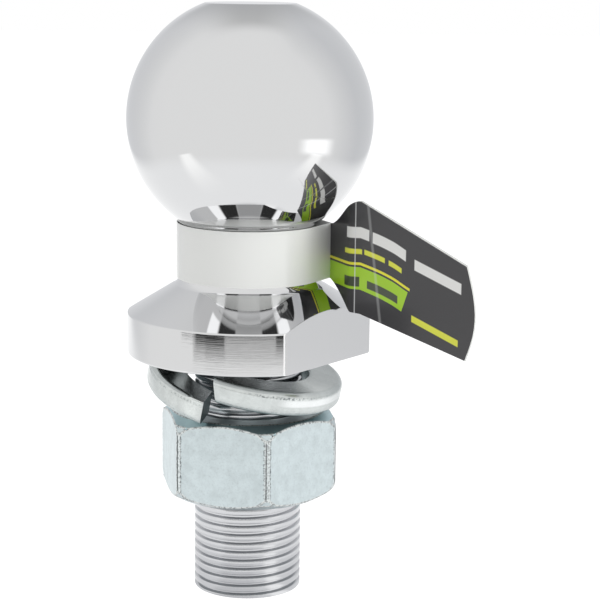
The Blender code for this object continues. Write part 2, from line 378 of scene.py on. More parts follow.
def thread_core(name, crest, depth, turns):
    """One turn of a screw thread's outline, drawn point by point and wound up the shank."""
    bpy.ops.mesh.primitive_plane_add(size=0.0001, location=(crest - depth, 0, THREAD_START))
    core = settle(name)
    edit(core, action="SELECT")
    bpy.ops.mesh.merge(type="CENTER")
    # from a root up to the crest, as shares of the depth and of the pitch
    rise = [(0, 0), (0, 0.075), (0.84, 0.215), (0.95, 0.24), (0.99, 0.28), (1, 0.5)]
    outline = [(share, turn * PITCH) for share, turn in rise]
    outline += [(share, (1 - turn) * PITCH) for share, turn in reversed(rise[:-1])]
    for (share, height), (next_share, next_height) in zip(outline, outline[1:]):
        extrude((next_share - share) * depth, next_height - height)
    leave()
    wind(core, math.tau, PITCH, turns, THREAD_STEPS)
    close_small_gaps(core, SAME_PLACE)
    middle = THREAD_START + PITCH * (turns + 1) / 2
    for low in (True, False):
        edit(core)
        bpy.ops.mesh.select_non_manifold()
        leave()
        rim = {vert.index for vert in core.data.vertices if vert.select}
        enter()
        pick(core, lambda vert: vert.index in rim and (vert.co.z < middle) == low)
        extrude(0, -PITCH if low else PITCH)
        bpy.ops.mesh.merge(type="CENTER")
        leave()
    face_outwards(core)
    return core


def cut_shank(forging):
    """The threaded shank with its chamfered end, grown onto the flange."""
    thread = thread_core("shank_thread", SHANK_RADIUS, THREAD_DEPTH, SHANK_THREAD_TURNS)
    sunk = 0.0004
    stock = cylinder("shank_stock", 192, SHANK_RADIUS + 2 * SAME_PLACE, 0, SHANK_LENGTH + sunk)
    edit(stock, "EDGE")
    pick(stock, lambda vert: vert.co.z < SAME_PLACE)
    bpy.ops.mesh.select_mode(type="EDGE")
    bpy.ops.mesh.bevel(offset=SHANK_CHAMFER, segments=1, affect="EDGES")
    leave()
    cut_with(thread, stock, "INTERSECT")
    cut_with(forging, thread, "UNION")
    close_small_gaps(forging, SAME_PLACE)


# The washer and the nut


def wind_the_wire():
    """The washer's wire, its outer corners rounded more, wound from its upper end downwards."""
    bpy.ops.mesh.primitive_plane_add(
        size=1,
        location=(WIRE_INNER + WIRE_WIDTH / 2, 0, WASHER_DROP / 2),
        rotation=(math.pi / 2, 0, 0),
    )
    bpy.context.object.scale = (WIRE_WIDTH, WIRE_THICKNESS, 1)
    washer = settle("spring_washer_coil")
    edit(washer)
    pick(washer, lambda vert: vert.co.x > WIRE_INNER + WIRE_WIDTH / 2)
    bpy.ops.mesh.bevel(offset=WIRE_OUTER_ROUND, segments=8, affect="VERTICES")
    pick(washer, lambda vert: vert.co.x < WIRE_INNER + SAME_PLACE)
    bpy.ops.mesh.bevel(offset=WIRE_INNER_ROUND, segments=4, affect="VERTICES")
    bpy.ops.mesh.select_all(action="SELECT")
    bpy.ops.mesh.delete(type="ONLY_FACE")
    leave()
    section = len(washer.data.vertices)
    wind(washer, math.radians(WASHER_SWEEP), -WASHER_DROP, 1, WIRE_STEPS)
    total = len(washer.data.vertices)
    for end in (range(section), range(total - section, total)):
        edit(washer)
        pick(washer, lambda vert: vert.index in end)
        bpy.ops.mesh.edge_face_add()
        leave()
    start = math.radians(SPLIT_PLACE - 90 + (360 - WASHER_SWEEP) / 2)
    washer.data.transform(Matrix.Rotation(start, 4, "Z"))
    measure_the_wire(washer, section)
    square_the_sheared_corner(washer)
    face_outwards(washer)
    return washer


def make_saw():
    """The saw for the split. Its right face leans, so that the wire's upper end hangs upright."""
    split = math.radians(SPLIT_PLACE)
    turn = split + math.radians(SPLIT_SKEW)
    reach = WIRE_INNER + WIRE_WIDTH
    middle = Vector((reach * math.sin(split), -reach * math.cos(split), 0))
    bpy.ops.mesh.primitive_cube_add(
        size=1,
        location=middle,
        rotation=(0, 0, turn),
        scale=(SPLIT_WIDTH, 2.6 * WIRE_WIDTH, 1.25 * (WASHER_DROP + WIRE_THICKNESS)),
    )
    saw = settle("saw")
    across = Vector((math.cos(turn), math.sin(turn), 0))
    for vert in saw.data.vertices:
        if (vert.co - middle).dot(across) > 0:
            vert.co -= across * vert.co.z * SPLIT_LEAN
    return saw


def make_washer(plate, cut_face):
    """The washer, tilted and hung under the flange by its high side, and then sawn through."""
    washer = wind_the_wire()
    washer.data.materials.append(plate)
    high = math.radians(WASHER_HIGH_SIDE)
    tilt_axis = Vector((math.cos(high), math.sin(high), 0))
    tilt = Matrix.Rotation(-math.radians(WASHER_TILT), 4, tilt_axis)
    top = max((tilt @ vert.co).z for vert in washer.data.vertices)
    place = Matrix.Translation((WASHER_SHIFT, 0, SHANK_LENGTH - SEAT_GAP - top)) @ tilt
    saw = make_saw()
    saw.data.materials.append(cut_face)
    for piece in (washer, saw):
        piece.data.transform(place)
    cut_with(washer, saw, "DIFFERENCE")
    close_small_gaps(washer, 2 * SAME_PLACE)
    soften(washer, SAWN_EDGE, 35)
    return washer


def measure_the_wire(washer, section):
    """Keeps each place's share along the coil and round the wire as its UV map."""
    rings = len(washer.data.vertices) // section
    places = []
    for vert in washer.data.vertices:
        share = (vert.index // section) / (rings - 1)
        height = vert.co.z - WASHER_DROP * (0.5 - share)
        aside = math.hypot(vert.co.x, vert.co.y) - WIRE_INNER - WIRE_WIDTH / 2
        places.append((share, math.atan2(height, aside) / math.tau + 0.5))
    layer = washer.data.uv_layers.new(name="wire")
    for face in washer.data.polygons:
        rounds = [places[washer.data.loops[i].vertex_index][1] for i in face.loop_indices]
        over_the_seam = max(rounds) - min(rounds) > 0.5
        for loop, turn in zip(face.loop_indices, rounds):
            share = places[washer.data.loops[loop].vertex_index][0]
            layer.data[loop].uv = (share, turn + (over_the_seam and turn < 0.5))


def square_the_sheared_corner(washer):
    """Near its lower end the wire keeps the square outer corner that the shears left."""
    over = WIRE_INNER + WIRE_WIDTH - WIRE_OUTER_ROUND
    under = WIRE_THICKNESS / 2 - WIRE_OUTER_ROUND
    for vert in washer.data.vertices:
        angle = math.degrees(math.atan2(vert.co.x, -vert.co.y))
        before = SPLIT_PLACE - angle
        if vert.co.z > 0 or not -4 < before < SHEARED_FROM + 1:
            continue
        share = min(max((SHEARED_FROM - before) / SHEARED_FADE, 0), 1)
        sweep = 360 - (360 - WASHER_SWEEP) / 2 - before
        middle = WASHER_DROP / 2 - WASHER_DROP * sweep / WASHER_SWEEP
        radius = math.hypot(vert.co.x, vert.co.y)
        up = vert.co.z - middle
        if radius > over and up > under:
            wide = (radius - over) / WIRE_OUTER_ROUND
            tall = (up - under) / WIRE_OUTER_ROUND
            grow = 1 / max(wide, tall, 0.05)
            new_radius = over + WIRE_OUTER_ROUND * min(wide * grow, 1)
            new_up = under + WIRE_OUTER_ROUND * min(tall * grow, 1)
            radius_now = radius + (new_radius - radius) * share
            vert.co.z = middle + up + (new_up - up) * share
            vert.co.x *= radius_now / radius
            vert.co.y *= radius_now / radius


def hexagon(low, high):
    """The nut's six sides, with rounded corners."""
    corners_radius = NUT_ACROSS_FLATS / math.sqrt(3)
    nut = cylinder("nut_body", 6, corners_radius, low.z, high.z, math.radians(NUT_TURN))
    edit(nut, "EDGE")
    pick(nut, lambda edge: upright(nut, edge), "EDGE")
    bpy.ops.mesh.bevel(offset=NUT_CORNER, segments=4, affect="EDGES")
    leave()
    return nut


def chamfered_blank(low, high):
    """The round blank that the six sides are cut from, chamfered in two steps at both faces."""
    wide = 1.1 * NUT_ACROSS_FLATS / math.sqrt(3)
    drop = (NUT_SHOULDER - NUT_CHAMFER_CIRCLE) * NUT_CHAMFER_FALL
    deep_drop = drop + (wide - NUT_SHOULDER) * NUT_SHOULDER_FALL
    blank = cylinder("nut_blank", 144, NUT_CHAMFER_CIRCLE, low.z, high.z)
    edit(blank, "FACE")
    pick(blank, lambda face: face.normal.z > -0.9, "FACE")
    bpy.ops.mesh.delete(type="FACE")
    bpy.ops.mesh.select_mode(type="EDGE")
    bpy.ops.mesh.select_all(action="DESELECT")
    bpy.ops.mesh.select_non_manifold()
    draw_along(
        [
            (NUT_CHAMFER_CIRCLE, low.z),
            (NUT_SHOULDER, low.z + drop),
            (wide, low.z + deep_drop),
            (wide, high.z - deep_drop),
            (NUT_SHOULDER, high.z - drop),
            (NUT_CHAMFER_CIRCLE, high.z),
        ]
    )
    bpy.ops.mesh.edge_face_add()
    leave()
    face_outwards(blank)
    return blank


def make_nut(plate, edge_line):
    low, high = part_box("hex_nut")
    nut = hexagon(low, high)
    cut_with(nut, chamfered_blank(low, high), "INTERSECT")
    close_small_gaps(nut, 12 * SAME_PLACE)
    bore = thread_core(
        "nut_thread", SHANK_RADIUS + NUT_THREAD_SLACK, THREAD_DEPTH * 0.9, NUT_THREAD_TURNS
    )
    cut_with(nut, bore, "DIFFERENCE")
    for face, way in ((high.z, 1), (low.z, -1)):
        bpy.ops.mesh.primitive_cone_add(
            vertices=96,
            radius1=SHANK_RADIUS - COUNTERSINK_NARROWER,
            radius2=SHANK_RADIUS + COUNTERSINK_WIDER,
            depth=COUNTERSINK_NARROWER + COUNTERSINK_WIDER,
            location=(0, 0, face - way * COUNTERSINK_SUNK),
            rotation=(0 if way > 0 else math.pi, 0, 0),
        )
        cut_with(nut, settle("countersink"), "DIFFERENCE")
    close_small_gaps(nut, SAME_PLACE)
    nut.data.materials.append(plate)
    nut.data.materials.append(edge_line)
    round_the_edges(nut)
    return nut


def round_the_edges(nut):
    """Rounds the nut's sharp outer edges, and gives their rounding the second material."""
    edit(nut, "EDGE")
    bpy.ops.mesh.edges_select_sharp(sharpness=math.radians(20))
    leave()
    for edge in nut.data.edges:
        radius = min(nut.data.vertices[i].co.xy.length for i in edge.vertices)
        outside = radius >= SHANK_RADIUS + 0.003
        edge.select = edge.select and outside and not upright(nut, edge)
    enter()
    bpy.ops.mesh.bevel(offset=NUT_EDGE, segments=3, affect="EDGES", clamp_overlap=False, material=1)
    leave()


# The label


def flag_place(along, side):
    """Place in plan on one layer of the flag, a distance past its fold."""
    fold = NECK_RADIUS + LABEL_NECK_GAP + LABEL_THICKNESS + FOLD_REACH
    start, first = math.radians(FOLD_BEARING), math.radians(FLAG_HEADING)
    curve = math.radians(FLAG_BEND) / FLAG_BEND_LENGTH
    before = min(along, FLAG_BEND_START)
    inside = min(max(along - FLAG_BEND_START, 0), FLAG_BEND_LENGTH)
    after = max(along - FLAG_BEND_START - FLAG_BEND_LENGTH, 0)
    heading = first + curve * inside
    place = fold * Vector((math.cos(start), math.sin(start)))
    place += before * Vector((math.cos(first), math.sin(first)))
    across = Vector((math.sin(heading) - math.sin(first), math.cos(first) - math.cos(heading)))
    place += across / curve
    place += after * Vector((math.cos(heading), math.sin(heading)))
    offset = side * (LABEL_THICKNESS + LABEL_LAYER_GAP) / 2
    return place + offset * Vector((-math.sin(heading), math.cos(heading)))


def flag_sag(along):
    return math.tan(math.radians(FLAG_DROOP)) * max(along - FLAG_DROOP_START, 0)


def flag_edges(along):
    """Heights of the lower and upper edge over the strap's middle."""
    past = max(along - FLAG_DROOP_START, 0)
    lost = FLAG_TAPER * past / (FLAG_LENGTH - FLAG_DROOP_START)
    rise = min(along / FLAG_DROOP_START, 1)
    fall = min(along / FLAG_WIDENING, 1)
    high = STRAP_HALF + (FLAG_ABOVE - STRAP_HALF) * rise * rise * (3 - 2 * rise)
    low = -STRAP_HALF - (FLAG_BELOW - STRAP_HALF) * fall**1.4
    return low + lost - flag_sag(along), high - lost - flag_sag(along)


def make_label():
    """A flat strip laid round the neck, with its place on the print kept as its UV map."""
    wrap = NECK_RADIUS + LABEL_NECK_GAP + LABEL_THICKNESS / 2
    flag_columns, wrap_columns, rows = 110, 96, 34
    columns = 2 * flag_columns + wrap_columns + 2
    bpy.ops.mesh.primitive_grid_add(x_subdivisions=columns, y_subdivisions=rows, size=1)
    label = settle("label_film")
    for made in (
        printed_film("printed film front", True),
        printed_film("printed film back", False),
        coated_film("strap film", (0.80, 0.81, 0.79), 0.32, 0.7, 0.10)[0],
    ):
        label.data.materials.append(made)
    ends = []
    for side in (1, -1):
        outside = flag_place(0, side)
        ends.append(math.atan2(outside.y, outside.x) + side * math.acos(wrap / outside.length))
    first, last = ends[0], ends[1] + math.tau
    flat = {}
    for vert in label.data.vertices:
        column = round((vert.co.x + 0.5) * columns)
        across = vert.co.y + 0.5
        from_end = min(column, columns - column)
        side = 1 if column <= flag_columns else -1
        if from_end <= flag_columns:
            bulge = FLAG_BULGE * math.sin(math.pi * across)
            along = (1 - from_end / flag_columns) * (FLAG_LENGTH + bulge)
            place = flag_place(along, side)
            low, high = flag_edges(along)
            if side > 0:
                # the rear layer shows a little past the front one
                peek = min(along / 0.02, 1)
                low, high = low - 0.0001 * peek, high + 0.0002 * peek
        else:
            along = 0
            angle = first + (last - first) * (column - flag_columns - 1) / wrap_columns
            place = wrap * Vector((math.cos(angle), math.sin(angle)))
            low, high = -STRAP_HALF, STRAP_HALF
        height = low + (high - low) * across
        vert.co = (place.x, place.y, LABEL_MIDDLE + height)
        on_flag = along if from_end <= flag_columns else -0.001
        flat[vert.index] = (on_flag, height + flag_sag(along), side)
    layer = label.data.uv_layers.active
    layer.name = "print"
    for loop in label.data.loops:
        along, height = flat[loop.vertex_index][:2]
        layer.data[loop.index].uv = (along * PRINT_SCALE, height * PRINT_SCALE)
    for face in label.data.polygons:
        sides = [flat[i] for i in face.vertices]
        on_flag = min(s[0] for s in sides) > -0.0005
        face.material_index = 2 if not on_flag else (0 if sides[0][2] < 0 else 1)
    label.data.update()
    outward = sum(
        face.normal.x * face.center.x + face.normal.y * face.center.y
        for face in label.data.polygons
        if face.material_index == 2
    )
    if outward < 0:
        label.data.flip_normals()
    thicken = label.modifiers.new("Film", "SOLIDIFY")
    thicken.thickness = LABEL_THICKNESS
    thicken.offset = 0
    thicken.use_even_offset = True
    thicken.material_offset = 2
    thicken.material_offset_rim = 2
    apply_all(label)
    return label


# Materials


class Shading:
    """Short words for placing and joining shader nodes."""

    def __init__(self, tree):
        self.tree = tree

    def node(self, kind, **values):
        made = self.tree.nodes.new(kind)
        for key, value in values.items():
            setattr(made, key, value)
        return made

    def put(self, source, socket):
        """Joins a source to a socket, or sets the socket's own number or colour."""
        if isinstance(source, tuple):
            socket.default_value = (*source, 1)
        elif isinstance(source, (int, float)):
            socket.default_value = source
        else:
            self.tree.links.new(source, socket)

    def fill(self, made, sources):
        """Puts a source into each of a node's inputs that are named or numbered here."""
        for socket, source in sources.items():
            self.put(source, made.inputs[socket])
        return made.outputs

    def math(self, operation, *inputs):
        made = self.node("ShaderNodeMath", operation=operation)
        return self.fill(made, dict(enumerate(inputs)))[0]

    add = partialmethod(math, "ADD")
    less = partialmethod(math, "SUBTRACT")
    over = partialmethod(math, "GREATER_THAN")
    under = partialmethod(math, "LESS_THAN")
    most = partialmethod(math, "MAXIMUM")
    size = partialmethod(math, "ABSOLUTE")

    def product(self, first, *others):
        for other in others:
            first = self.math("MULTIPLY", first, other)
        return first

    def place(self):
        return self.node("ShaderNodeTexCoord").outputs["Object"]

    def parts(self, vector):
        """The x, y and z of a place or direction."""
        return self.fill(self.node("ShaderNodeSeparateXYZ"), {0: vector})

    def reach(self, x, y):
        """Distance from the upright axis through the origin."""
        return self.math("SQRT", self.add(self.product(x, x), self.product(y, y)))

    def noise(self, vector, scale, detail, roughness):
        made = self.node("ShaderNodeTexNoise")
        sizes = {"Scale": scale, "Detail": detail, "Roughness": roughness}
        return self.fill(made, {"Vector": vector, **sizes})["Fac"]

    def bump(self, height, strength, distance):
        made = self.node("ShaderNodeBump")
        return self.fill(made, {"Strength": strength, "Distance": distance, "Height": height})[0]

    def ramp(self, value, *stops):
        """A colour ramp; a stop is a place and a colour, or the number of a grey."""
        made = self.node("ShaderNodeValToRGB")
        while len(made.color_ramp.elements) < len(stops):
            made.color_ramp.elements.new(0.5)
        for element, (place, colour) in zip(made.color_ramp.elements, stops):
            element.position = place
            element.color = (*(colour if isinstance(colour, tuple) else (colour,) * 3), 1)
        self.put(value, made.inputs["Fac"])
        return made.outputs["Color"]

    def span(self, value, low, high, to_low=0.0, to_high=1.0):
        """Turns a stretch of a value smoothly into another stretch."""
        made = self.node("ShaderNodeMapRange", interpolation_type="SMOOTHSTEP")
        source = {"Value": value, "From Min": low, "From Max": high}
        return self.fill(made, {**source, "To Min": to_low, "To Max": to_high})["Result"]

    def band(self, value, rise, fall):
        """Mask that comes in over one stretch of a value and goes out over another."""
        return self.product(self.span(value, *rise), self.span(value, *fall, 1, 0))

    def window(self, value, low, high, soft):
        return self.band(value, (low - soft, low + soft), (high - soft, high + soft))

    def mix(self, share, first, second):
        made = self.node("ShaderNodeMix", data_type="RGBA")
        return self.fill(made, {0: share, 6: first, 7: second})[2]

    def choose(self, share, first, second):
        """One shader or another, by a share."""
        made = self.node("ShaderNodeMixShader")
        return self.fill(made, {0: share, 1: first, 2: second})[0]

    def glow(self, colour, strength=1.0):
        made = self.node("ShaderNodeEmission")
        return self.fill(made, {"Color": colour, "Strength": strength})[0]


def shared_group(name, inputs, outputs):
    """A node group with named inputs and outputs, for an effect that several materials use."""
    tree = bpy.data.node_groups.new(name, "ShaderNodeTree")
    for way, sockets in (("INPUT", inputs), ("OUTPUT", outputs)):
        for label, kind in sockets.items():
            tree.interface.new_socket(label, in_out=way, socket_type="NodeSocket" + kind)
    s = Shading(tree)
    return tree, s, s.node("NodeGroupInput").outputs, s.node("NodeGroupOutput")


def mottle_group():
    """Fine cloudy mottle of passivated zinc, with small dark pits."""
    tree, s, given, result = shared_group(
        "zinc mottle",
        {
            "Place": "Vector",
            "Scale": "Float",
            "Light": "Color",
            "Middle": "Color",
            "Dark": "Color",
            "Strength": "Float",
        },
        {"Color": "Color", "Fine": "Float", "Height": "Float"},
    )
    place, scale, strength = given["Place"], given["Scale"], given["Strength"]
    cloud = s.noise(place, scale, 6.0, 0.62)
    fine = s.noise(place, s.product(scale, 5), 5.0, 0.7)
    pits = s.noise(place, s.product(scale, 7), 2.0, 0.6)
    tone = s.mix(s.span(cloud, 0.30, 0.72), given["Light"], given["Middle"])
    tone = s.mix(s.product(s.span(fine, 0.48, 0.68), strength), tone, given["Dark"])
    tone = s.mix(s.product(s.span(pits, 0.66, 0.74), strength), tone, given["Dark"])
    s.fill(result, {"Color": tone, "Fine": fine, "Height": s.add(cloud, fine)})
    return tree


def speck_group():
    """Dark specks where the plating has worn through, within a mask."""
    tree, s, given, result = shared_group(
        "worn specks",
        {"Place": "Vector", "Color": "Color", "Mask": "Float", "Amount": "Float"},
        {"Color": "Color", "Height": "Float"},
    )
    grain = s.noise(given["Place"], 2100, 4.0, 0.7)
    reach = s.add(grain, s.product(given["Amount"], 0.2))
    specks = s.product(s.span(reach, 0.56, 0.66), given["Mask"])
    tone = s.mix(specks, given["Color"], (0.13, 0.15, 0.16))
    s.fill(result, {"Color": tone, "Height": grain})
    return tree


def place_group(s, tree, **values):
    """Places a shared group and fills its inputs."""
    return s.fill(s.node("ShaderNodeGroup", node_tree=tree), values)


def new_material(name, colour, roughness, metallic):
    made = bpy.data.materials.new(name)
    made.use_nodes = True
    s = Shading(made.node_tree)
    shader = made.node_tree.nodes["Principled BSDF"]
    s.fill(shader, {"Base Color": colour, "Roughness": roughness, "Metallic": metallic})
    return made, s, shader


def stage_material(name, piece):
    """A material for a piece of the studio, with no shader of its own yet."""
    made, s, shader = new_material(name, (0, 0, 0), 1.0, 0.0)
    made.node_tree.nodes.remove(shader)
    piece.data.materials.append(made)
    return s, made.node_tree.nodes["Material Output"].inputs["Surface"]


def chrome_plate():
    made, s, shader = new_material("chrome plate", CHROME, 0.04, 1.0)
    place = s.place()
    x, y, z = s.parts(place)
    radius = s.reach(x, y)
    below_cone = s.under(z, SHANK_LENGTH + FLANGE_WALL)

    # turning marks on the flange's wall and grain on its two flats
    lines = s.node("ShaderNodeMapping")
    lines.inputs["Scale"].default_value = (9, 9, 900)
    s.put(place, lines.inputs["Vector"])
    turned = s.noise(lines.outputs[0], 8.0, 3.0, 0.6)
    wall = s.product(s.over(radius, FLANGE_RADIUS - 0.00005), below_cone)
    turn = math.radians(FLAT_TURN)
    across = s.size(s.less(s.product(x, math.sin(turn)), s.product(y, math.cos(turn))))
    flat = s.under(s.size(s.less(across, FLAT_DISTANCE)), 0.00006)
    grain = s.noise(place, 900.0, 4.0, 0.65)
    height = s.add(s.product(turned, wall, 0.7), s.product(grain, flat, 1.4))
    s.put(s.bump(height, 0.35, 0.00001), shader.inputs["Normal"])

    # the flats' rounded edges, rougher, with a painted highlight: their tone is raised to white for a
    # bright line
    edge = s.product(
        below_cone,
        s.over(radius, FLANGE_RADIUS - 0.00035),
        s.span(across, FLAT_DISTANCE - 0.00030, FLAT_DISTANCE - 0.00022),
        s.less(1, flat),
    )
    shank = s.product(s.under(z, SHANK_LENGTH - 0.0001), s.under(radius, SHANK_RADIUS + 0.0001))
    rough = s.add(s.product(flat, 0.08), s.product(edge, 0.30))
    rough = s.add(s.add(rough, 0.04), s.product(shank, 0.14))
    s.put(rough, shader.inputs["Roughness"])

    # painted shade: the thread's flanks, and the shank just under the flange, are darkened; its crests
    # and roots are polished
    root = SHANK_RADIUS - THREAD_DEPTH
    flank = s.band(
        radius,
        (root + 0.00006, root + 0.00014),
        (SHANK_RADIUS - 0.00020, SHANK_RADIUS - 0.00008),
    )
    # painted shade: darker up the shank towards the flange, behind the washer
    painted_shade = s.product(s.span(z, SHANK_LENGTH - 0.0125, SHANK_LENGTH - 0.0080), 0.30)
    painted_shade = s.product(s.most(s.product(flank, 0.10), painted_shade), shank)
    # painted highlight: the flats' rounded edges turn white
    tone = s.mix(edge, s.mix(shank, CHROME, (0.61, 0.615, 0.63)), (1, 1, 1))
    s.put(s.mix(painted_shade, tone, (0.10, 0.11, 0.12)), shader.inputs["Base Color"])
    return made


def nut_marks(s, tone):
    """The nut's rounded corners, with a rough line to both sides, and painted shade, a dark teal tint,
    on its top chamfer.
    """
    x, y, z = s.parts(s.place())
    radius = s.reach(x, y)
    line = s.size(s.less(radius, NUT_CORNER_START))
    corner = s.span(radius, NUT_CORNER_START, NUT_CORNER_START + 0.00003)
    mask = s.most(s.span(line, 0.00003, 0.00009, 0.9, 0), s.product(corner, 0.5))
    tone = s.mix(s.product(corner, 0.6), tone, (0.74, 0.77, 0.76))
    # painted shade: the top chamfer, facing the washer above it, is tinted a darker teal
    cone = s.add(z, s.product(radius, NUT_CHAMFER_FALL))
    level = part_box("hex_nut")[1].z + NUT_CHAMFER_CIRCLE * NUT_CHAMFER_FALL
    film = s.span(s.less(level, cone), 0.0001, 0.0003, 0.5, 0)
    return s.mix(film, tone, (0.30, 0.50, 0.55)), mask


def wire_marks(s, tone):
    """The washer's marks: a painted highlight along the outer face, painted shade on the underside,
    the right and back and the inner side, and two rough seams.
    """
    run, turn = s.parts(s.node("ShaderNodeUVMap", uv_map="wire").outputs[0])[:2]
    # painted highlight: a lighter band along the outer face at the front
    painted_highlight = s.band(turn, (0.48, 0.50), (0.53, 0.57))
    painted_highlight = s.product(painted_highlight, s.band(run, (0.10, 0.14), (0.30, 0.40)))
    # painted shade: the inner side, which faces the shank
    inner = s.most(s.span(turn, 0.87, 0.93), s.span(turn, 0.07, 0.13, 1, 0))
    # the painted highlight, then painted shade on the underside and lower rounding, on the right and
    # back, and on the inner side
    for mask, strength, colour in (
        (painted_highlight, 0.8, (0.90, 0.92, 0.92)),
        (s.band(turn, (0.25, 0.32), (0.39, 0.47)), 0.55, (0.22, 0.27, 0.28)),
        (s.band(run, (0.19, 0.27), (0.55, 0.65)), 0.55, (0.26, 0.29, 0.29)),
        (inner, 0.75, (0.12, 0.17, 0.18)),
    ):
        tone = s.mix(s.product(mask, strength), tone, colour)
    seams = []
    for middle, wide in ((0.563, 0.016), (0.430, 0.010)):
        away = s.size(s.less(turn, middle))
        seams.append(s.span(away, 0.002, wide, 1, 0))
    front = s.product(s.span(run, 0.05, 0.08), s.span(run, 0.14, 0.19, 1, 0.35))
    return tone, s.most(s.product(seams[0], front), s.product(seams[1], 0.35))


def zinc_plate(name, colour, roughness, scale, strength, marks, mottle, specks):
    """Passivated zinc on the washer's wire or on the nut, with the marks of the one or the other."""
    made, s, shader = new_material(name, colour, roughness, 1.0)
    place = s.place()
    tones = (("Light", 1.08), ("Middle", 0.93), ("Dark", 0.62))
    tones = {name: tuple(part * share for part in colour) for name, share in tones}
    zinc = place_group(s, mottle, Place=place, Scale=scale, Strength=strength, **tones)
    tone, mask = marks(s, zinc["Color"])
    worn = place_group(s, specks, Place=place, Color=tone, Mask=mask, Amount=0.45)
    rough = s.add(s.product(zinc["Fine"], 0.16), roughness - 0.08)
    normal = s.bump(zinc["Height"], 0.30 * strength, 0.00003)
    s.fill(shader, {"Base Color": worn["Color"], "Roughness": rough, "Normal": normal})
    return made


def bare_edge(name, colour, roughness, amount, specks):
    """A rough edge or cut face: the nut's chamfer lines and the washer's sheared ends."""
    made, s, shader = new_material(name, colour, roughness, 1.0)
    worn = place_group(s, specks, Place=s.place(), Color=colour, Mask=0.75, Amount=amount)
    normal = s.bump(worn["Height"], 0.5, 0.00005)
    s.fill(shader, {"Base Color": worn["Color"], "Normal": normal})
    return made


def coated_film(name, colour, roughness, coat, coat_roughness):
    made, s, shader = new_material(name, colour, roughness, 0.0)
    s.fill(shader, {"Coat Weight": coat, "Coat Roughness": coat_roughness})
    return made, s, shader


def bar(s, u, v, left, right, low, high):
    """Mask of one printed bar, in millimetres on the flat print."""
    return s.product(s.window(u, left, right, 0.10), s.window(v, low, high, 0.10))


def printed_film(name, printed):
    ink = (0.030, 0.029, 0.032)
    made, s, shader = coated_film(name, ink, 0.28, 0.25, 0.12)
    if not printed:
        return made
    flat = s.parts(s.node("ShaderNodeUVMap", uv_map="print").outputs[0])
    u, v = (s.product(flat[way], 1000 / PRINT_SCALE) for way in (0, 1))
    # every line of the print follows one shallow arch
    arch = s.less(s.span(u, 8, 19, -0.90, -0.14), s.span(u, 20, 25.5, 0, 0.50))
    v = s.less(v, arch)
    right = s.add(s.product(s.add(v, 0.95), 0.33), 24.45)
    field = s.product(
        s.under(v, -0.95),
        s.over(v, s.span(u, 2, 22, -5.35, -5.60)),
        s.under(u, right),
    )
    line = s.product(s.under(s.size(s.add(v, 0.27)), 0.27), s.under(u, 24.9))
    tone = s.mix(field, ink, (0.36, 0.62, 0.012))
    tone = s.mix(line, tone, (0.80, 0.76, 0.03))
    white = [(8.1, 14.4, 4.9, 7.1), (15.3, 23.8, 4.8, 7.0), (26.0, 37.5, 4.1, 6.2)]
    yellow = [(7.3, 12.6, 1.7, 2.7), (13.2, 18.5, 1.9, 2.9), (19.5, 22.8, 1.9, 2.9)]
    yellow.append((25.5, 37.0, -6.3, -5.0))
    dark = [(7.2, 12.0, -4.9, -2.9), (14.0, 21.9, -4.7, -3.1)]
    for bars, colour in (
        (white, (0.80, 0.80, 0.78)),
        (yellow, (0.72, 0.74, 0.05)),
        (dark, (0.035, 0.05, 0.02)),
    ):
        for sides in bars:
            tone = s.mix(bar(s, u, v, *sides), tone, colour)
    # painted highlights: two pale lines along the creases of the folded film
    crease_highlight = s.span(s.size(s.less(u, 10.8)), 0.04, 0.20, 0.75, 0)
    lean = s.less(s.less(u, 15.9), s.product(v, -0.16))
    second = s.span(s.size(lean), 0.10, 0.55, 0.22, 0)
    tone = s.mix(s.most(crease_highlight, second), tone, (0.75, 0.76, 0.76))
    s.put(tone, shader.inputs["Base Color"])
    return made


# The studio


def sector(s, x, y, start, end, soft=1.5):
    """Mask of the directions between two bearings, in degrees from the front to the right."""
    bearing = s.product(s.math("ARCTAN2", x, s.product(y, -1)), 180 / math.pi)
    return s.window(bearing, start, end, soft)


def room(s, x, y):
    """The dark room to both sides of the camera, which only second mirrorings show."""
    return s.most(sector(s, x, y, -51, -22), sector(s, x, y, 22, 49))


def lamps(s, x, y):
    """The two upright lamps beyond it, which also only second mirrorings show."""
    return s.most(sector(s, x, y, -72, -53), sector(s, x, y, 51, 72))


def tent_tone(s, x, back):
    """Tone of the light tent: whitest in front, greyer behind and to the right."""
    turn = s.add(back, s.span(x, 0.1, 0.6, 0, 0.4))
    return s.ramp(
        s.product(s.add(turn, 0.2), 1 / 1.4),
        (0.07, (1.04, 1.04, 1.035)),
        (0.28, 1.02),
        (0.46, (0.92, 0.925, 0.93)),
        (0.61, (0.85, 0.855, 0.87)),
        (0.75, (0.79, 0.80, 0.82)),
    )


